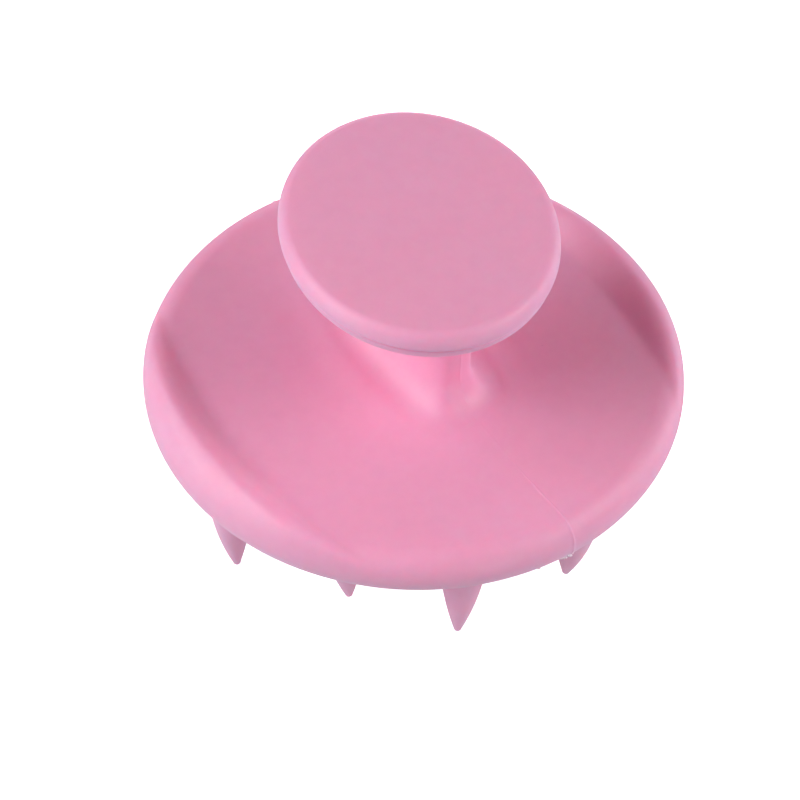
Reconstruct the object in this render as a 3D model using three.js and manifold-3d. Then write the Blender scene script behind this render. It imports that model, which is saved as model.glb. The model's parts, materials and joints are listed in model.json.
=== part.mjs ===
// A silicone scalp massager brush: a round dish with two finger channels, a blade-shaped neck,
// an oval knob for the palm, and a plate of tapered tines underneath.
//
// Frame: millimetres, +Z up, origin on the plane of the long tines' tips, under the dish's centre.
// The finger channels run along Y, one on each side of the neck, and the raised lobes lie at +X and -X.

import * as THREE from "three";
import { mergeVertices } from "three/addons/utils/BufferGeometryUtils.js";
import Module from "manifold-3d";

const wasm = await Module();
wasm.setup();

// Driving dimensions.
const GAP = 0.3; // between neighbouring pieces
const LONG_TINE = 15; // from the plate's underside to the tip
const SHORT_TINE = 14.2;
const DISH_RADIUS = 42;
const UNDERSIDE = LONG_TINE; // height of the plate's underside
const RIM_MIDDLE = UNDERSIDE + 4.3; // height where the dish is widest
const CHANNEL_FLOOR = RIM_MIDDLE + 2.7; // height of the finger channels
const LOBE_HEIGHT = 3.3; // of the lobes above the channels
const LOBE_WALL = 34.8; // from the YZ plane to the middle of a lobe's inner wall
const LOBE_WALL_WIDTH = 6.8;
const WALL_CURVE = 0.0055; // how fast the walls close in towards the two ends
const END_RIM_ACROSS = 4.3; // how far in from the edge the rim's rounding starts, at the channels' ends
const LOBE_RIM_ACROSS = 5; // and on the lobes

const KNOB_LONG = 24.5; // half the knob's length
const KNOB_SHORT = 20.5; // half its width
const KNOB_TURN = -18.8; // degrees from the Y axis to the knob's length
const KNOB_MIDDLE = RIM_MIDDLE + 29.7; // height of the parting line round the knob
const KNOB_HALF_THICKNESS = 2.8;

const NECK_LENGTH = 12; // half the blade's length, along Y
const NECK_THICKNESS = 3.6; // half its thickness, along X
const NECK_FOOT = 5.2; // how far the blade flares at its foot
const NECK_HEAD = 4.4; // and under the knob
const BLUNTNESS = 4; // 2 would make the blade an ellipse in plan, more squares off its ends

const TINE_ROOT = 3.4; // radius at the plate
const TINE_TIP = 0.7; // radius of the rounded tip
const PLATE_TOP = UNDERSIDE + 4.3;
const FLANGE_TOP = UNDERSIDE + 1.3;
const FLANGE_RADIUS = DISH_RADIUS - 0.9;
const BOSS_RADIUS = FLANGE_RADIUS - 0.7;

const TINE_LEAN = 2; // degrees, towards the middle
// The outer tines that stand unevenly: degrees towards the middle, and degrees sideways.
const UNEVEN_LEANS = {
  outer_tine_07: [1.5, 0],
  outer_tine_08: [3, 2.3],
  outer_tine_09: [-1.2, -1.4],
  outer_tine_10: [7.4, 5.1],
};

// Each ring of tines: how many, how far out they stand in turn, and the first one's angle in degrees.
const OUTER_RING = { name: "outer_tine", count: 12, radii: [36.4, 32.6, 36.4], turn: 7.6 };
const MIDDLE_RING = { name: "middle_tine", count: 8, radii: [23.8], turn: 30.1 };
const INNER_RING = { name: "inner_tine", count: 4, radii: [12], turn: 52.6 };

// How finely the round shapes are divided.
const DISH_SIDES = 48;
const KNOB_SIDES = 48;
const NECK_SIDES = 32;
const TINE_SIDES = 12;

const silicone = (color) => new THREE.MeshStandardMaterial({ color, roughness: 0.55, metalness: 0 });
const knobSilicone = silicone(0xe99abf);
const bodySilicone = silicone(0xe893ba);
const tineSilicone = silicone(0xe08db3);

const radians = THREE.MathUtils.degToRad;

// A profile of [radius, height] points turned about Z. It starts and ends on the axis, foot first.
function turned(profile, sides) {
  const points = profile.map(([radius, height]) => new THREE.Vector2(radius, height));
  return new THREE.LatheGeometry(points, sides).rotateX(Math.PI / 2);
}

// Points along a quarter of an ellipse about (radius, height), from angle to angle in degrees.
function arc(radius, height, across, up, from, to, steps) {
  const points = [];
  for (let i = 0; i <= steps; i++) {
    const angle = radians(from + ((to - from) * i) / steps);
    points.push([radius + across * Math.cos(angle), height + up * Math.sin(angle)]);
  }
  return points;
}

// Moves each vertex of a geometry to where place(x, y, z) says.
function reshape(geometry, place) {
  const position = geometry.getAttribute("position");
  for (let i = 0; i < position.count; i++) {
    position.setXYZ(i, ...place(position.getX(i), position.getY(i), position.getZ(i)));
  }
  return geometry;
}

function toSolid(geometry) {
  const bare = geometry.clone();
  bare.deleteAttribute("normal");
  bare.deleteAttribute("uv");
  const merged = mergeVertices(bare, 1e-3);
  const vertProperties = new Float32Array(merged.getAttribute("position").array);
  const triVerts = new Uint32Array(merged.index.array);
  return new wasm.Manifold(new wasm.Mesh({ numProp: 3, vertProperties, triVerts }));
}

function toGeometry(solid) {
  const { vertProperties, triVerts } = solid.getMesh();
  const geometry = new THREE.BufferGeometry();
  geometry.setAttribute("position", new THREE.BufferAttribute(new Float32Array(vertProperties), 3));
  geometry.setIndex(new THREE.BufferAttribute(new Uint32Array(triVerts), 1));
  return geometry;
}

function named(name, geometry, material) {
  const mesh = new THREE.Mesh(geometry, material);
  mesh.name = name;
  return mesh;
}

// The height of the dish's top: level channels between raised lobes, rounded off towards the rim.
function dishTop(x, y) {
  const wall = LOBE_WALL - WALL_CURVE * y * y;
  const rise = THREE.MathUtils.smoothstep(Math.abs(x), wall - LOBE_WALL_WIDTH / 2, wall + LOBE_WALL_WIDTH / 2);
  const distance = Math.hypot(x, y);
  const lobe = THREE.MathUtils.smoothstep(Math.abs(x) / Math.max(distance, 1), 0.62, 0.95);
  const across = END_RIM_ACROSS + (LOBE_RIM_ACROSS - END_RIM_ACROSS) * lobe;
  const out = THREE.MathUtils.clamp((distance - (DISH_RADIUS - across)) / across, 0, 1);
  return RIM_MIDDLE + (CHANNEL_FLOOR + LOBE_HEIGHT * rise - RIM_MIDDLE) * Math.sqrt(1 - out * out);
}

// The upper shell: channels and lobes above, a pocket for the tine plate below.
function fingerDish() {
  const pocket = BOSS_RADIUS + GAP;
  const ceiling = PLATE_TOP + GAP;
  const skirt = FLANGE_TOP + GAP;
  const topRings = [41.8, 41.3, 40.5, 39.5, 38.3, 37, 35.4, 33.8, 32.2, 30.5, 27, 18];
  const profile = [
    [0, ceiling],
    [pocket, ceiling],
    [pocket, skirt],
    [FLANGE_RADIUS + 0.2, skirt],
    [DISH_RADIUS - 0.25, RIM_MIDDLE - 1.4],
    [DISH_RADIUS, RIM_MIDDLE],
    ...topRings.map((radius) => [radius, CHANNEL_FLOOR]),
    [0, CHANNEL_FLOOR],
  ];
  return reshape(turned(profile, DISH_SIDES), (x, y, z) => {
    const onTop = z > CHANNEL_FLOOR - 0.01;
    return [x, y, onTop ? dishTop(x, y) : z];
  });
}

// The blade-shaped neck, flared at its foot and under the knob.
function neck() {
  const foot = CHANNEL_FLOOR + GAP;
  const head = KNOB_MIDDLE - KNOB_HALF_THICKNESS - GAP;
  const steps = 12;
  const flare = (height, end, reach) => {
    const near = THREE.MathUtils.clamp(1 - Math.abs(height - end) / 6.5, 0, 1);
    return reach * (1 - Math.sqrt(1 - near * near));
  };
  const heights = [];
  for (let i = 0; i <= steps; i++) {
    heights.push(foot + ((head - foot) * (1 - Math.cos((Math.PI * i) / steps))) / 2);
  }
  const profile = [[0, foot], ...heights.map((height) => [1, height]), [0, head]];
  return reshape(turned(profile, NECK_SIDES), (x, y, z) => {
    const out = flare(z, foot, NECK_FOOT) + flare(z, head, NECK_HEAD);
    const power = Math.abs(x) ** BLUNTNESS + Math.abs(y) ** BLUNTNESS;
    const squared = power > 0 ? power ** (-1 / BLUNTNESS) : 0;
    return [x * squared * (NECK_THICKNESS + out), y * squared * (NECK_LENGTH + out), z];
  });
}

// Makes a round knob piece oval and turns it to the knob's direction.
function asKnob(geometry) {
  return geometry.scale(1, KNOB_LONG / KNOB_SHORT, 1).rotateZ(radians(KNOB_TURN));
}

function knobBase() {
  const top = KNOB_MIDDLE - GAP / 2;
  const bottom = KNOB_MIDDLE - KNOB_HALF_THICKNESS;
  const edge = 3;
  const profile = [
    [0, bottom],
    ...arc(KNOB_SHORT - 0.2 - edge, top, edge, top - bottom, -90, 0, 4),
    [0, top],
  ];
  return asKnob(turned(profile, KNOB_SIDES));
}

function knobCap() {
  const bottom = KNOB_MIDDLE + GAP / 2;
  const top = KNOB_MIDDLE + KNOB_HALF_THICKNESS;
  const edge = 3;
  const profile = [[0, bottom], ...arc(KNOB_SHORT - edge, bottom, edge, top - bottom, 0, 90, 5), [0, top]];
  return asKnob(turned(profile, KNOB_SIDES));
}

// Where a ring's tines stand: each has a name, a place, a direction out from the middle, and a length.
function ringOfTines({ name, count, radii, turn }) {
  return Array.from({ length: count }, (_, i) => {
    const radius = radii[i % radii.length];
    const angle = radians(turn + (360 * i) / count);
    const tineName = `${name}_${String(i + 1).padStart(2, "0")}`;
    const [lean, aside] = UNEVEN_LEANS[tineName] ?? [TINE_LEAN, 0];
    return {
      name: tineName,
      x: radius * Math.cos(angle),
      y: radius * Math.sin(angle),
      angle,
      lean: radians(lean),
      aside: radians(aside),
      length: radius < radii[0] ? SHORT_TINE : LONG_TINE,
    };
  });
}

const tines = [
  ...ringOfTines(OUTER_RING),
  ...ringOfTines(MIDDLE_RING),
  ...ringOfTines(INNER_RING),
  { name: "centre_tine", x: 0, y: 0, angle: 0, lean: 0, aside: 0, length: LONG_TINE },
];

// A tapered tine with a rounded tip. Its root is half a ball about the point where it bends.
function tine(length) {
  const shoulder = [TINE_ROOT - 0.3, -3.4];
  const profile = [
    ...arc(0, TINE_TIP - length, TINE_TIP, TINE_TIP, -90, 0, 3),
    shoulder,
    ...arc(0, 0, TINE_ROOT, TINE_ROOT, 0, 90, 4),
  ];
  profile[0][0] = 0;
  profile[profile.length - 1][0] = 0;
  return turned(profile, TINE_SIDES);
}

// The plate that carries the tines: a flange that closes the dish, and a boss with a socket per tine.
function tinePlate() {
  const profile = [
    [0, UNDERSIDE],
    [FLANGE_RADIUS - 1.1, UNDERSIDE],
    [FLANGE_RADIUS - 0.3, UNDERSIDE + 0.4],
    [FLANGE_RADIUS, FLANGE_TOP],
    [BOSS_RADIUS, FLANGE_TOP],
    [BOSS_RADIUS, PLATE_TOP],
    [0, PLATE_TOP],
  ];
  const socket = TINE_ROOT + GAP;
  return tines.reduce((plate, { x, y }) => {
    const ball = turned(arc(0, 0, socket, socket, -90, 90, 8), TINE_SIDES).translate(x, y, UNDERSIDE);
    return plate.subtract(toSolid(ball));
  }, toSolid(turned(profile, DISH_SIDES)));
}

const brush = new THREE.Group();
brush.add(named("finger_dish", fingerDish(), bodySilicone));
brush.add(named("neck", neck(), bodySilicone));
brush.add(named("knob_base", knobBase(), bodySilicone));
brush.add(named("knob_cap", knobCap(), knobSilicone));
brush.add(named("tine_plate", toGeometry(tinePlate()), tineSilicone));
for (const { name, x, y, angle, lean, aside, length } of tines) {
  const mesh = named(name, tine(length).rotateX(aside).rotateY(lean).rotateZ(angle), tineSilicone);
  mesh.position.set(x, y, UNDERSIDE);
  brush.add(mesh);
}

export default brush;
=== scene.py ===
"""Looks for the silicone scalp massager brush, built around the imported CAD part.

Lengths in the shape code are millimetres in the part's frame, and new_object() turns them into metres.
The body, the knob's cap and the plate are lofts of closed rings about the Z axis, and each tine is a
loft of rings down its own axis.
"""

import json
import math

import bpy
import numpy as np
from mathutils import Matrix, Vector


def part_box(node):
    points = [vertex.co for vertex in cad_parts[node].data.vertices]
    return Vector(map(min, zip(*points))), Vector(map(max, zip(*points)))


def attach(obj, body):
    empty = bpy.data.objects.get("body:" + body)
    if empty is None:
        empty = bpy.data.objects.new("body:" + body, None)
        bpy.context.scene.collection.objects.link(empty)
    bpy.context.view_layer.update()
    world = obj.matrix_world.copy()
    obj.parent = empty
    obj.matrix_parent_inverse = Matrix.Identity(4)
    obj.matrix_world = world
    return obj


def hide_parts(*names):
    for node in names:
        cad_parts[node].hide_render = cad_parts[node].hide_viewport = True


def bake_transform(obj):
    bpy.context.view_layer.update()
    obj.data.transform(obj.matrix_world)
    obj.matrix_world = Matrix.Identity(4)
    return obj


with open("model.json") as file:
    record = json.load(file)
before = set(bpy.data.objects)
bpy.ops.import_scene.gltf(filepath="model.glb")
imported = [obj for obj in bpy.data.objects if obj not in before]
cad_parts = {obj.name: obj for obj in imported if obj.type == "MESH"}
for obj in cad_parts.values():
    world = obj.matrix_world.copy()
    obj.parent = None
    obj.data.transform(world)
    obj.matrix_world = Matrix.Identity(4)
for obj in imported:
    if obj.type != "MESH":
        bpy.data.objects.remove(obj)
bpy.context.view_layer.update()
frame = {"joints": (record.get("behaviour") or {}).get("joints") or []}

MM = 0.001


def low(name):
    """A CAD node's lowest corner, in millimetres."""
    return np.array(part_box(name)[0]) / MM


def high(name):
    """A CAD node's highest corner, in millimetres."""
    return np.array(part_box(name)[1]) / MM


# Sizes that the frame gives.
DISH_RADIUS = high("finger_dish")[0]
UNDERSIDE = low("tine_plate")[2]
RIM_MIDDLE = high("tine_plate")[2]
KNOB_BOTTOM = low("knob_base")[2]
KNOB_TOP = high("knob_cap")[2]
KNOB_PARTING = (high("knob_base")[2] + low("knob_cap")[2]) / 2

# The dish's top.
CHANNEL_FLOOR = RIM_MIDDLE + 2.5
FLOOR_RISE = 0.0007  # how fast the channels rise towards both ends
LOBE_HEIGHT = 3.3
LOBE_FOOT = 33.3  # from the YZ plane to the foot of a lobe's inner wall
LOBE_HALF_WIDTH = 5.0
LOBE_FOOT_ROUNDING = 0.12
LOBE_SHAPE = 1.55
WALL_CURVE = 0.0055
FOOT_SWELL = 0.9  # of the dish round the neck's foot
FOOT_SWELL_REACH = 7.0

# The rim. It is widest at WIDEST, and meets the plate at RIM_PARTING.
WIDEST = RIM_MIDDLE - 0.3
RIM_PARTING = UNDERSIDE + 1.0
END_RIM_ACROSS = 4.0
LOBE_RIM_ACROSS = 5.0
LOWER_RIM_ACROSS = 3.5
LIP_RISE = 0.1
# [how far in from the edge, how far above the parting line] of the rings that turn the rim's lip.
RIM_LIP = ((0.9, 0.35), (0.35, 0.12), (0.08, 0.04), (0.0, LIP_RISE))
PLATE_CLEARANCE = 0.09

# The knob.
KNOB_LONG = 24.5
KNOB_SHORT = 20.5
KNOB_TURN = math.radians(-18.8)
KNOB_EDGE = 1.7
KNOB_GAP = 0.24
KNOB_BASE_INSET = 0.3
KNOB_BASE_EDGE = 2.5
# [how far in, how far up] of the rings that turn each half's lip into the gap between them.
KNOB_BASE_LIP = ((0.04, 0.06), (0.3, 0.12), (2.0, 0.14))
KNOB_CAP_LIP = ((2.0, 0.06), (0.4, 0.06), (0.16, 0.14), (0.04, 0.3), (0.0, 0.5))

# The neck, a blade with square ends.
NECK_HALF_X = 3.6
NECK_HALF_Y = 12.0
FOOT_FLARE = 5.6
HEAD_FLARE = 4.4
FLARE_RISE = 6.5
FOOT_RISE = FLARE_RISE + 0.4
BLUNTNESS = 4.0
NOSE_RIDGE = 0.1

# The mould seam at the +Y and -Y ends, faint near the neck and full near the rim.
SEAM_HEIGHT = 0.12
SEAM_WIDTH = 0.17
SEAM_FAINT = 0.25
SEAM_GROWS = (24, 33)
SEAM_AT_RIM = 0.05  # its height where it would stand out past the rim
SEAM_LINES = (0.0022, 0.0045, 0.0070, 0.0105)  # radians beside the seam

# How finely the round shapes are divided.
AROUND = 384
PLATE_SIDES = 240
LOWER_RIM_STEPS = 9
UPPER_RIM_STEPS = 26
DISH_STEPS = 50
FLARE_STEPS = 16
BLADE_STEPS = 9
KNOB_UNDERSIDE_STEPS = 14
KNOB_BASE_STEPS = 10
KNOB_CAP_STEPS = 18
KNOB_TOP_STEPS = 12
PLATE_STEPS = 20
PLATE_EDGE_STEPS = 10


# ---------------------------------------------------------------- meshes


def new_object(name, vertices, faces, material):
    mesh = bpy.data.meshes.new(name)
    mesh.from_pydata((np.asarray(vertices) * MM).tolist(), [], faces)
    mesh.update()
    for polygon in mesh.polygons:
        polygon.use_smooth = True
    mesh.materials.append(material)
    obj = bpy.data.objects.new(name, mesh)
    bpy.context.scene.collection.objects.link(obj)
    return obj


def loft(name, rings, material, cap_first=False, cap_last=False):
    """A skin over closed rings, each an (n, 3) array. Faces look outward when the rings run from the
    foot of the outside upwards and turn anticlockwise seen from above."""
    rings = [np.asarray(ring, float) for ring in rings]
    n = len(rings[0])
    vertices = np.concatenate(rings)
    faces = []
    for k in range(len(rings) - 1):
        a, b = k * n, (k + 1) * n
        for i in range(n):
            j = (i + 1) % n
            faces.append((a + i, a + j, b + j, b + i))
    hubs = []
    if cap_first:
        hub = len(vertices)
        hubs.append(rings[0].mean(0))
        faces += [(hub, (i + 1) % n, i) for i in range(n)]
    if cap_last:
        hub = len(vertices) + len(hubs)
        base = (len(rings) - 1) * n
        hubs.append(rings[-1].mean(0))
        faces += [(hub, base + i, base + (i + 1) % n) for i in range(n)]
    if hubs:
        vertices = np.concatenate([vertices, np.array(hubs)])
    return new_object(name, vertices, faces, material)


def angles_with_seams():
    """Angles round the axis, with extra ones beside the mould seam at +Y and -Y."""
    angles = set(np.round(np.arange(AROUND) * 2 * math.pi / AROUND, 9))
    for side in (math.pi / 2, 3 * math.pi / 2):
        for offset in SEAM_LINES:
            angles.add(round(side + offset, 9))
            angles.add(round(side - offset, 9))
    return np.array(sorted(angles))


ANGLES = angles_with_seams()


def even_angles(sides):
    return np.arange(sides) * 2 * math.pi / sides


def quarter(steps, first=1):
    """The angles that divide a quarter turn into equal steps."""
    return [math.pi / 2 * k / steps for k in range(first, steps + 1)]


def smoothstep(value, start, end):
    t = np.clip((value - start) / (end - start), 0, 1)
    return t * t * (3 - 2 * t)


def oval(half_x, half_y, z, angles=ANGLES, blunt=0.0):
    """An ellipse. As blunt goes from 0 to 1 its ends square off and come to a low ridge at x = 0."""
    across, along = np.cos(angles), np.sin(angles)
    squared = (np.abs(across) ** BLUNTNESS + np.abs(along) ** BLUNTNESS) ** (-1 / BLUNTNESS)
    squared = 1 + (squared - 1) * blunt
    ring = np.empty((len(angles), 3))
    ring[:, 0] = half_x * across * squared
    ring[:, 1] = half_y * along * squared
    ring[:, 1] -= blunt * NOSE_RIDGE * np.sign(along) * np.abs(ring[:, 0]) * np.abs(along) ** 4
    ring[:, 2] = z
    return ring


def circle(radius, z, angles=ANGLES):
    return oval(radius, radius, z, angles)


def knob_oval(short, z):
    """A ring of the knob's oval shape, turned to the knob's direction."""
    ring = oval(short, short * KNOB_LONG / KNOB_SHORT, z, ANGLES - KNOB_TURN)
    c, s = math.cos(KNOB_TURN), math.sin(KNOB_TURN)
    x, y = ring[:, 0].copy(), ring[:, 1].copy()
    ring[:, 0] = c * x - s * y
    ring[:, 1] = s * x + c * y
    return ring


# ---------------------------------------------------------------- the dish's surface


def surface_without_rim(x, y):
    """Height of the finger channels, the lobes beside them, and the swell round the neck's foot."""
    foot = LOBE_FOOT - WALL_CURVE * y * y
    inside = (np.abs(x) - foot) / LOBE_HALF_WIDTH
    inside = (inside + np.sqrt(inside * inside + LOBE_FOOT_ROUNDING**2)) / 2
    rise = 1 - (1 - np.minimum(inside, 1)) ** LOBE_SHAPE
    foot_x, foot_y = NECK_HALF_X + FOOT_FLARE, NECK_HALF_Y + FOOT_FLARE
    beyond_foot = np.maximum(np.hypot(x / foot_x, y / foot_y) - 1, 0) * foot_y
    swell = FOOT_SWELL * np.exp(-((beyond_foot / FOOT_SWELL_REACH) ** 2))
    return CHANNEL_FLOOR + FLOOR_RISE * y * y + LOBE_HEIGHT * rise + swell


def rim_across(angles):
    """How far in from the rim its rounding starts: further on the lobes than at the channels' ends."""
    lobe = smoothstep(np.abs(np.cos(angles)), 0.62, 0.95)
    return END_RIM_ACROSS + (LOBE_RIM_ACROSS - END_RIM_ACROSS) * lobe


def on_dish(ring):
    """Sets a ring's heights to the dish's top surface, rounded off towards the rim."""
    x, y = ring[:, 0], ring[:, 1]
    across = rim_across(np.arctan2(y, x))
    out = np.clip((np.hypot(x, y) - (DISH_RADIUS - across)) / across, 0, 1)
    ring[:, 2] = WIDEST + (surface_without_rim(x, y) - WIDEST) * np.sqrt(1 - out * out)
    return ring


def lower_rim_radius(z):
    """Radius of the rim's rounded underside at a height."""
    drop = np.clip((WIDEST - z) / (WIDEST - UNDERSIDE), 0, 1)
    return DISH_RADIUS - LOWER_RIM_ACROSS * (1 - np.sqrt(1 - drop * drop))


def lower_rim_height(radius):
    """Height of the rim's rounded underside at a distance from the axis."""
    inward = np.clip((DISH_RADIUS - radius) / LOWER_RIM_ACROSS, 0, 1)
    return WIDEST - (WIDEST - UNDERSIDE) * np.sqrt(1 - (1 - inward) ** 2)


# ---------------------------------------------------------------- materials


def node(tree, kind, **inputs):
    """Adds a shader node. An underscore in an input's name stands for a space."""
    made = tree.nodes.new(kind)
    for name, value in inputs.items():
        made.inputs[name.replace("_", " ")].default_value = value
    return made


def share(tree, value, start, end, least=0.0, most=1.0):
    """Maps a value that runs from start to end onto least to most, held at both ends."""
    made = node(tree, "ShaderNodeMapRange", From_Min=start, From_Max=end, To_Min=least, To_Max=most)
    tree.links.new(value, made.inputs["Value"])
    return made.outputs["Result"]


def product(tree, first, second):
    made = tree.nodes.new("ShaderNodeMath")
    made.operation = "MULTIPLY"
    tree.links.new(first, made.inputs[0])
    tree.links.new(second, made.inputs[1])
    return made.outputs["Value"]


def mix(tree, factor, first, second, blend="MIX"):
    """Mixes the second colour into the first, which is a colour or another node's output."""
    made = tree.nodes.new("ShaderNodeMix")
    made.data_type = "RGBA"
    made.blend_type = blend
    if isinstance(first, tuple):
        made.inputs["A"].default_value = (*first, 1)
    else:
        tree.links.new(first, made.inputs["A"])
    made.inputs["B"].default_value = (*second, 1)
    tree.links.new(factor, made.inputs["Factor"])
    return made.outputs["Result"]


# Colours are linear.
PINK = (0.83, 0.354, 0.561)
PINK_WARM = (0.85, 0.344, 0.541)
PINK_DEEP = (0.76, 0.293, 0.486)
FLASH_PALE = (0.95, 0.7, 0.82)
FLASH_WARM = (0.95, 0.66, 0.8)
FLASH_DEEP = (0.9, 0.55, 0.7)
DUST = (0.42, 0.16, 0.24)
# Painted bounce light: a tint multiplied into the colour in broad hollows (redder, with less green and blue),
# and how far the hollow test reaches.
PAINTED_BOUNCE_TINT = (1.14, 0.9, 0.96)
PAINTED_BOUNCE_REACH = 0.02

SILICONE_SHADER = {
    "IOR": 1.41,
    "Specular IOR Level": 0.75,
    "Subsurface Weight": 0.7,
    "Subsurface Radius": (1.0, 0.3, 0.4),
    "Subsurface Scale": 0.004,
    "Sheen Weight": 0.2,
    "Sheen Roughness": 0.5,
    "Sheen Tint": (0.95, 0.9, 1.0, 1.0),
}


def painted_bounce_share(tree):
    """Mask of the painted bounce light: 1 in a broad hollow, where light bounces about, and 0 in the open or
    in a narrow crevice.
    """
    around = node(tree, "ShaderNodeAmbientOcclusion", Distance=PAINTED_BOUNCE_REACH)
    around.samples = 10
    openness = around.outputs["AO"]
    closed_in = share(tree, openness, 0.5, 0.97, 1.0, 0.0)
    not_crevice = share(tree, openness, 0.1, 0.42)
    return product(tree, closed_in, not_crevice)


def silicone(name, base, warm, deep):
    """Matte moulded silicone: a soft body colour that drifts a little, mottling, sparse dust specks,
    painted bounce light that turns broad hollows a redder, deeper pink, and a fine orange-peel skin."""
    material = bpy.data.materials.new(name)
    material.use_nodes = True
    tree = material.node_tree
    shader = tree.nodes["Principled BSDF"]
    for socket, value in SILICONE_SHADER.items():
        shader.inputs[socket].default_value = value
    link = tree.links.new
    place = tree.nodes.new("ShaderNodeTexCoord").outputs["Object"]

    def noise(**inputs):
        made = node(tree, "ShaderNodeTexNoise", **inputs)
        link(place, made.inputs["Vector"])
        return made.outputs["Fac"]

    drift = noise(Scale=38.0, Detail=2.0, Roughness=0.5)
    color = mix(tree, share(tree, drift, 0.35, 0.65), base, warm)

    mottle = noise(Scale=420.0, Detail=4.0, Roughness=0.6)
    color = mix(tree, share(tree, mottle, 0.4, 0.75, most=0.22), color, deep)

    specks = node(tree, "ShaderNodeTexVoronoi", Scale=230.0, Randomness=1.0)
    link(place, specks.inputs["Vector"])
    near = share(tree, specks.outputs["Distance"], 0.02, 0.05, 1.0, 0.0)
    rare = share(tree, noise(Scale=160.0, Detail=1.0), 0.6, 0.68, most=0.5)
    color = mix(tree, product(tree, near, rare), color, DUST)

    # Painted bounce light: broad hollows are tinted a redder, deeper pink, which stands in for light bounced
    # between the pink surfaces.
    color = mix(tree, painted_bounce_share(tree), color, PAINTED_BOUNCE_TINT, "MULTIPLY")
    link(color, shader.inputs["Base Color"])
    link(share(tree, drift, 0.3, 0.7, 0.44, 0.54), shader.inputs["Roughness"])

    fine = node(tree, "ShaderNodeBump", Strength=0.22, Distance=0.00006)
    link(noise(Scale=2600.0, Detail=3.0, Roughness=0.55), fine.inputs["Height"])
    broad = node(tree, "ShaderNodeBump", Strength=0.35, Distance=0.0002)
    link(noise(Scale=95.0, Detail=1.0), broad.inputs["Height"])
    link(fine.outputs["Normal"], broad.inputs["Normal"])
    link(broad.outputs["Normal"], shader.inputs["Normal"])
    return material


def floor_paper():
    """White paper with a faint grain, lit from within so that it shows no shadow."""
    material = bpy.data.materials.new("backdrop_paper")
    material.use_nodes = True
    tree = material.node_tree
    shader = tree.nodes["Principled BSDF"]
    shader.inputs["Roughness"].default_value = 0.9
    shader.inputs["Specular IOR Level"].default_value = 0.1
    shader.inputs["Emission Color"].default_value = (1, 1, 1, 1)
    shader.inputs["Emission Strength"].default_value = 1.0
    grain = node(tree, "ShaderNodeTexNoise", Scale=300.0, Detail=3.0)
    tone = tree.nodes.new("ShaderNodeValToRGB")
    tone.color_ramp.elements[0].color = (0.93, 0.93, 0.935, 1)
    tone.color_ramp.elements[1].color = (0.95, 0.95, 0.95, 1)
    tree.links.new(tree.nodes.new("ShaderNodeTexCoord").outputs["Object"], grain.inputs["Vector"])
    tree.links.new(grain.outputs["Fac"], tone.inputs["Fac"])
    tree.links.new(tone.outputs["Color"], shader.inputs["Base Color"])
    return material


body_silicone = silicone("body_silicone_pink", PINK, PINK_WARM, PINK_DEEP)
knob_silicone = silicone("knob_silicone_pink", PINK, PINK_WARM, PINK_DEEP)
tine_silicone = silicone("tine_silicone_pink", PINK, PINK_WARM, PINK_DEEP)
flash_silicone = silicone("flash_silicone_pale", FLASH_PALE, FLASH_WARM, FLASH_DEEP)


# ---------------------------------------------------------------- the moulded body


def rim_rings():
    """From the parting line under the rim, out round the edge and over onto the dish."""
    edge = lower_rim_radius(RIM_PARTING)
    rings = [circle(edge - inset, RIM_PARTING + rise) for inset, rise in RIM_LIP]
    lip_top = RIM_PARTING + LIP_RISE
    for k in range(1, LOWER_RIM_STEPS + 1):
        z = lip_top + (WIDEST - lip_top) * k / LOWER_RIM_STEPS
        rings.append(circle(lower_rim_radius(z), z))
    across = rim_across(ANGLES)
    for turn in quarter(UPPER_RIM_STEPS):
        rings.append(on_dish(circle(DISH_RADIUS - across * (1 - math.cos(turn)), 0)))
    return rings


def dish_rings():
    """From inside the rim to the foot of the neck."""
    rings = []
    outer = DISH_RADIUS - rim_across(ANGLES)
    for k in range(1, DISH_STEPS + 1):
        inward = k / DISH_STEPS
        half_x = outer + (NECK_HALF_X + FOOT_FLARE - outer) * inward
        half_y = outer + (NECK_HALF_Y + FOOT_FLARE - outer) * inward
        rings.append(on_dish(oval(half_x, half_y, 0, blunt=inward**2)))
    return rings


def neck_oval(out, z):
    """A ring of the neck, flared out by some way."""
    return oval(NECK_HALF_X + out, NECK_HALF_Y + out, z, blunt=1.0)


def neck_rings(foot):
    """Up the neck, from the ring at its foot to the knob's underside."""
    rings = []
    top_of_foot = CHANNEL_FLOOR + FOOT_RISE
    for turn in reversed(quarter(FLARE_STEPS, first=0)[:-1]):
        ring = neck_oval(FOOT_FLARE * (1 - math.cos(turn)), 0)
        ring[:, 2] = foot[:, 2] + (top_of_foot - foot[:, 2]) * (1 - math.sin(turn))
        rings.append(ring)
    foot_of_head = KNOB_BOTTOM - FLARE_RISE
    for k in range(1, BLADE_STEPS):
        rings.append(neck_oval(0, top_of_foot + (foot_of_head - top_of_foot) * k / BLADE_STEPS))
    for turn in quarter(FLARE_STEPS, first=0):
        rings.append(neck_oval(HEAD_FLARE * (1 - math.cos(turn)), foot_of_head + FLARE_RISE * math.sin(turn)))
    return rings


def knob_base_rings(inner):
    """Across the knob's underside and up to the line where its two halves meet."""
    rings = []
    short = KNOB_SHORT - KNOB_BASE_INSET
    flat = knob_oval(short - KNOB_BASE_EDGE, KNOB_BOTTOM)
    for k in range(1, KNOB_UNDERSIDE_STEPS + 1):
        outward = k / KNOB_UNDERSIDE_STEPS
        rings.append(inner * (1 - outward) + flat * outward)
    top = KNOB_PARTING - KNOB_GAP
    for turn in quarter(KNOB_BASE_STEPS):
        inset = KNOB_BASE_EDGE * (1 - math.sin(turn))
        rings.append(knob_oval(short - inset, KNOB_BOTTOM + (top - KNOB_BOTTOM) * (1 - math.cos(turn))))
    rings += [knob_oval(short - inset, top + up) for inset, up in KNOB_BASE_LIP]
    return rings


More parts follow.
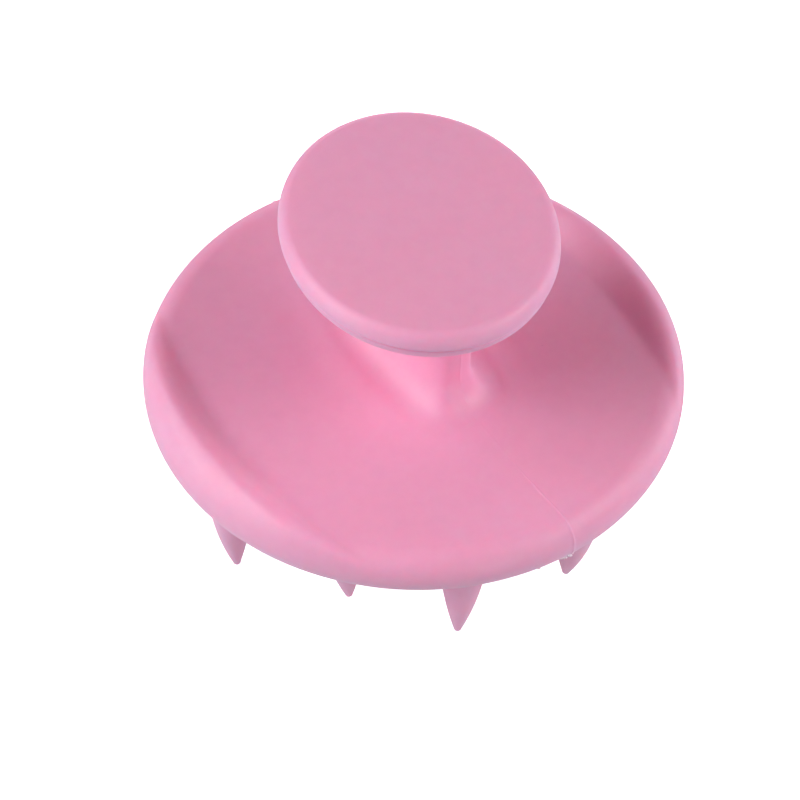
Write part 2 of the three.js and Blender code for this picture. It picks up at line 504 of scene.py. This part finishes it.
def raise_seam(rings):
    """Lifts a fine mould seam along x = 0 on both ends of the body, square to the surface."""
    grid = np.array(rings)
    along = np.gradient(grid, axis=0)
    around = np.roll(grid, -1, axis=1) - np.roll(grid, 1, axis=1)
    normal = np.cross(around, along)
    normal = normal / np.maximum(np.linalg.norm(normal, axis=2, keepdims=True), 1e-9)
    x, y, z = grid[:, :, 0], grid[:, :, 1], grid[:, :, 2]
    strength = SEAM_FAINT + (1 - SEAM_FAINT) * smoothstep(np.abs(y), *SEAM_GROWS)
    height = SEAM_HEIGHT * strength * np.exp(-((x / SEAM_WIDTH) ** 2))
    height = np.where(z > KNOB_BOTTOM - 0.5, 0, height)
    height = np.where(z < RIM_PARTING + 0.3, 0, height)
    past_rim = np.hypot(x, y) + height > DISH_RADIUS + 0.08
    height = np.where(past_rim, SEAM_AT_RIM, height)
    return list(grid + normal * height[:, :, None])


def moulded_body():
    rings = rim_rings() + dish_rings()
    rings += neck_rings(rings[-1])
    rings += knob_base_rings(rings[-1])
    return loft("moulded_body", raise_seam(rings), body_silicone)


def knob_cap():
    """The knob's upper half, from inside the gap up over the edge to the middle of the top."""
    rings = [knob_oval(KNOB_SHORT - inset, KNOB_PARTING + up) for inset, up in KNOB_CAP_LIP]
    side = KNOB_PARTING + KNOB_CAP_LIP[-1][1]
    for turn in quarter(KNOB_CAP_STEPS):
        short = KNOB_SHORT - KNOB_EDGE * (1 - math.cos(turn))
        rings.append(knob_oval(short, side + (KNOB_TOP - side) * math.sin(turn)))
    for k in range(1, KNOB_TOP_STEPS):
        rings.append(knob_oval((KNOB_SHORT - KNOB_EDGE) * (1 - k / KNOB_TOP_STEPS), KNOB_TOP))
    return loft("knob_cap_skin", rings, knob_silicone, cap_last=True)


def plate():
    """The underside, from the middle out to the rim's parting line."""
    angles = even_angles(PLATE_SIDES)
    edge = lower_rim_radius(RIM_PARTING) - PLATE_CLEARANCE
    flat = lower_rim_radius(UNDERSIDE)
    rings = [circle(flat * k / PLATE_STEPS, UNDERSIDE, angles) for k in range(1, PLATE_STEPS + 1)]
    for k in range(1, PLATE_EDGE_STEPS + 1):
        z = UNDERSIDE + (RIM_PARTING - UNDERSIDE) * (k / PLATE_EDGE_STEPS) ** 1.8
        rings.append(circle(min(lower_rim_radius(z), edge), z, angles))
    rings.append(circle(edge - 0.4, RIM_PARTING + 0.08, angles))
    rings.append(circle(edge - 1.0, RIM_PARTING + 0.3, angles))
    return loft("tine_plate_skin", rings, tine_silicone, cap_first=True)


# ---------------------------------------------------------------- tines


TINE_SIDES = 32
# The radius, a distance up from the tip, is TIP_RADIUS + TINE_SLOPE * up - TINE_SWELL * up^2.
TIP_RADIUS = 0.49
TINE_SLOPE = 0.285
TINE_SWELL = 0.0055
TIP_HEIGHT = 0.589
TIP_END = math.radians(84)
TIP_STEPS = 6
CONE_STEPS = 16
BOW = 0.2  # of the tine's middle, outwards

ROOT_FILLET = 1.0
FILLET_END = math.radians(78)
FILLET_STEPS = 7
FILLET_SINK = 0.02
ROOT_BURIED = 0.5
ROOT_LIMIT = 40.4  # furthest that a root reaches from the dish's axis
ROOT_RUN_UP = 2.4  # depth over which a root follows the rim's rounded underside

# Degrees that a tine leans towards the axis and sideways. Four outer ones stand unevenly.
TINE_LEAN = 2.0
UNEVEN_LEANS = {
    "outer_tine_07": (1.5, 0.0),
    "outer_tine_08": (3.0, 2.3),
    "outer_tine_09": (-1.2, -1.4),
    "outer_tine_10": (7.4, 5.1),
}
DOWN = np.array([0.0, 0.0, -1.0])


def tine_profile(length):
    """[radius, depth] points from inside the plate down to the tip."""

    def side(depth):
        up = length - depth
        return TIP_RADIUS + TINE_SLOPE * up - TINE_SWELL * up * up

    points = [[side(0) + ROOT_FILLET, -ROOT_BURIED]]
    for k in range(FILLET_STEPS + 1):
        turn = FILLET_END * k / FILLET_STEPS
        depth = ROOT_FILLET * (1 - math.cos(turn)) - FILLET_SINK
        points.append([side(depth) + ROOT_FILLET * (1 - math.sin(turn)), depth])
    cone_start = points[-1][1]
    cone_end = length - TIP_HEIGHT
    for k in range(1, CONE_STEPS + 1):
        depth = cone_start + (cone_end - cone_start) * k / CONE_STEPS
        points.append([side(depth), depth])
    end_radius = points[-1][0]
    for k in range(1, TIP_STEPS + 1):
        turn = TIP_END * k / TIP_STEPS
        points.append([end_radius * math.cos(turn), cone_end + TIP_HEIGHT * math.sin(turn)])
    return points


def follow_rim(ring, depth):
    """Keeps a root's ring inside the rim, and lifts it where the rim's underside rises."""
    reach = np.hypot(ring[:, 0], ring[:, 1])
    ring[:, :2] *= np.minimum(ROOT_LIMIT / np.maximum(reach, 1e-6), 1)[:, None]
    near_root = np.clip(1 - depth / ROOT_RUN_UP, 0, 1)
    ring[:, 2] += (lower_rim_height(np.minimum(reach, ROOT_LIMIT)) - UNDERSIDE) * near_root
    return ring


def tine(joint):
    child = joint["child"]
    root = np.array(joint["pos_m"]) / MM
    # A positive turn about the joint's axis swings the tip outwards.
    outward = np.array([-joint["axis"][1], joint["axis"][0], 0.0])
    sideways = np.array([-outward[1], outward[0], 0.0])
    length = root[2] - low(child)[2]
    on_axis = math.hypot(root[0], root[1]) <= 1
    lean, aside = UNEVEN_LEANS.get(child, (0.0 if on_axis else TINE_LEAN, 0.0))
    lean, aside = math.radians(lean), math.radians(aside)
    down = DOWN - outward * math.tan(lean) + sideways * math.tan(aside)
    across = outward * math.cos(lean) + DOWN * math.sin(lean)
    angles = even_angles(TINE_SIDES)
    rings = []
    for radius, depth in tine_profile(length):
        bow = 0.0 if on_axis else BOW * math.sin(math.pi * min(max(depth / length, 0), 1))
        ring = (
            root
            + outward * bow
            + np.outer(np.cos(angles) * radius, across)
            + np.outer(np.sin(angles) * radius, sideways)
            + down * depth
        )
        rings.append(follow_rim(ring, depth))
    obj = loft(child + "_skin", rings[::-1], tine_silicone, cap_first=True)
    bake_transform(obj)
    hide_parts(child)


# ---------------------------------------------------------------- flash at the rim's parting line


FLASH_REACH = 0.05
FLASH_UNEVENNESS = 0.035
TEAR_REACH = 0.42
TEAR_UNEVENNESS = 0.5
LONE_TEAR_REACH = 0.3
LONGEST_FLASH = 0.75
# [whether a ring is at the flash's outer edge, its height] from underneath round to the top.
FLASH_SECTION = ((False, -0.05), (True, -0.05), (True, 0.05), (False, 0.08))


def rim_flash():
    """Thin torn remains of mould flash, longest where the seam at the -Y end meets the parting line."""
    rng = np.random.default_rng(7)
    seam = 1.5 * math.pi
    beside_seam = seam + np.linspace(-0.16, 0.16, 321)
    angles = np.unique(np.round(np.concatenate([even_angles(360), beside_seam]), 6))
    noise = sum(
        rng.normal() * np.sin(angles * f + rng.uniform(0, 2 * math.pi)) / math.sqrt(f)
        for f in (9, 17, 31, 53, 89, 131, 173)
    )
    tears = sum(np.sin(angles * f + rng.uniform(0, 2 * math.pi)) for f in (210, 370, 610, 980)) / 4
    at_seam = np.exp(-(((angles - seam + 0.004) / 0.034) ** 2))
    lone_tear = np.exp(-(((angles - seam + 0.125) / 0.007) ** 2))
    reach = FLASH_REACH + FLASH_UNEVENNESS * noise
    reach = reach + at_seam * (TEAR_REACH + TEAR_UNEVENNESS * tears) + lone_tear * LONE_TEAR_REACH
    reach = np.clip(reach, 0.0, LONGEST_FLASH)
    edge = lower_rim_radius(RIM_PARTING)
    rings = []
    for outer, z in FLASH_SECTION:
        radius = edge - 0.05 + reach if outer else np.full(len(angles), edge - 0.5)
        rings.append(circle(radius, RIM_PARTING + z, angles))
    return loft("rim_flash", rings, flash_silicone)


# ---------------------------------------------------------------- build


body = moulded_body()
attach(body, "brush")
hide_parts("finger_dish", "neck", "knob_base")

cap = knob_cap()
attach(cap, "brush")
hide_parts("knob_cap")

underside = plate()
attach(underside, "brush")
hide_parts("tine_plate")

flash = rim_flash()
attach(flash, "brush")

for joint in frame["joints"]:
    tine(joint)


# ---------------------------------------------------------------- floor, light and camera


CAMERA_AZIMUTH = math.radians(-35.5)
CAMERA_ELEVATION = math.radians(47.8)
CAMERA_ROLL = math.radians(2.0)
CAMERA_DISTANCE = 0.4
CAMERA_LENS = 115.74
CAMERA_SHIFT = (-0.0175, -0.0409)

right = Vector((math.cos(CAMERA_AZIMUTH), math.sin(CAMERA_AZIMUTH), 0))
front = Vector((math.sin(CAMERA_AZIMUTH), -math.cos(CAMERA_AZIMUTH), 0))
target = Vector((0, 0, RIM_MIDDLE * MM))

# The sheet under and round the part, in metres.
FLOOR_FLAT = 2.0
FLOOR_CURVE = 1.0
WALL_TOP = 4.0
FLOOR_DROP = 0.00005
FLOOR_SIDES = 96
FLOOR_CURVE_STEPS = 8


def add_floor():
    """A flat sheet that curves up into a wall all round, so that low views meet no horizon."""
    rings = [(FLOOR_FLAT, 0.0)]
    for turn in quarter(FLOOR_CURVE_STEPS):
        rings.append((FLOOR_FLAT + FLOOR_CURVE * math.sin(turn), FLOOR_CURVE * (1 - math.cos(turn))))
    rings.append((FLOOR_FLAT + FLOOR_CURVE, WALL_TOP))
    vertices = [(0.0, 0.0, -FLOOR_DROP)]
    for radius, height in rings:
        for turn in even_angles(FLOOR_SIDES):
            vertices.append((radius * math.cos(turn), radius * math.sin(turn), height - FLOOR_DROP))
    faces = [(0, 1 + i, 1 + (i + 1) % FLOOR_SIDES) for i in range(FLOOR_SIDES)]
    for k in range(len(rings) - 1):
        a, b = 1 + k * FLOOR_SIDES, 1 + (k + 1) * FLOOR_SIDES
        for i in range(FLOOR_SIDES):
            j = (i + 1) % FLOOR_SIDES
            faces.append((a + i, b + i, b + j, a + j))
    mesh = bpy.data.meshes.new("studio_floor")
    mesh.from_pydata(vertices, [], faces)
    mesh.materials.append(floor_paper())
    floor = bpy.data.objects.new("studio_floor", mesh)
    # The sheet is white to the camera only, so that it throws no light and blocks none.
    floor.visible_diffuse = False
    floor.visible_glossy = False
    floor.visible_transmission = False
    floor.visible_shadow = False
    bpy.context.scene.collection.objects.link(floor)


LAMP_DISTANCE = 0.6
# Azimuth from the front, positive to the right; elevation; width and height; power; colour.
LAMPS = {
    "left_softbox": (-80, 35, (0.46, 0.34), 2.85, (0.98, 1.02, 0.99)),
    "left_high": (-75, 62, (0.4, 0.3), 0.33, (0.9, 1.1, 1.0)),
    "right_softbox": (78, 37, (0.46, 0.28), 2.13, (0.98, 1.03, 0.98)),
    "left_front_low": (-68, 5, (0.42, 0.2), 1.03, (0.86, 1.12, 1.05)),
    "right_front_low": (34, 4, (0.32, 0.2), 0.8, (0.96, 1.04, 1.0)),
    "right_back_low": (118, 4, (0.32, 0.2), 0.83, (0.93, 1.0, 1.05)),
    "back_low": (180, 4, (0.32, 0.2), 0.75, (1.4, 0.75, 0.95)),
    "overhead": (180, 75, (0.3, 0.3), 0.22, (1.3, 0.9, 1.0)),
}


def add_lamp(name):
    """An area lamp aimed at the dish."""
    azimuth, elevation, size, power, color = LAMPS[name]
    data = bpy.data.lights.new(name, "AREA")
    data.shape = "RECTANGLE"
    data.size, data.size_y = size
    data.energy = power
    data.color = color
    lamp = bpy.data.objects.new(name, data)
    a, e = math.radians(azimuth), math.radians(elevation)
    away = (front * math.cos(a) + right * math.sin(a)) * math.cos(e) + Vector((0, 0, math.sin(e)))
    lamp.location = target + away * LAMP_DISTANCE
    lamp.rotation_mode = "QUATERNION"
    lamp.rotation_quaternion = away.to_track_quat("Z", "Y")
    bpy.context.scene.collection.objects.link(lamp)


def add_camera():
    data = bpy.data.cameras.new("camera")
    data.sensor_width = 36
    data.lens = CAMERA_LENS
    data.shift_x, data.shift_y = CAMERA_SHIFT
    data.clip_start, data.clip_end = 0.01, 20
    camera = bpy.data.objects.new("camera", data)
    back = front * math.cos(CAMERA_ELEVATION) + Vector((0, 0, math.sin(CAMERA_ELEVATION)))
    up = back.cross(right)
    rolled_right = right * math.cos(CAMERA_ROLL) + up * math.sin(CAMERA_ROLL)
    rolled_up = up * math.cos(CAMERA_ROLL) - right * math.sin(CAMERA_ROLL)
    turn = Matrix((rolled_right, rolled_up, back)).transposed()
    camera.matrix_world = Matrix.Translation(target + back * CAMERA_DISTANCE) @ turn.to_4x4()
    bpy.context.scene.collection.objects.link(camera)
    bpy.context.scene.camera = camera


TABLE_GLOW = 0.64
TABLE_COLOR = (0.86, 0.98, 1.0)
DARK = (0.0, 0.0, 0.0)


def add_world():
    """A dark room over a white table: its light comes from below the horizon only."""
    world = bpy.data.worlds.new("studio")
    world.use_nodes = True
    tree = world.node_tree
    direction = tree.nodes.new("ShaderNodeTexCoord").outputs["Generated"]
    parts = tree.nodes.new("ShaderNodeSeparateXYZ")
    tree.links.new(direction, parts.inputs["Vector"])
    glow = share(tree, parts.outputs["Z"], 0.05, -0.35)
    background = tree.nodes["Background"]
    tree.links.new(mix(tree, glow, DARK, TABLE_COLOR), background.inputs["Color"])
    background.inputs["Strength"].default_value = TABLE_GLOW
    bpy.context.scene.world = world


add_floor()
for lamp_name in LAMPS:
    add_lamp(lamp_name)
add_world()
add_camera()

scene = bpy.context.scene
scene.view_settings.view_transform = "Standard"
scene.view_settings.look = "None"
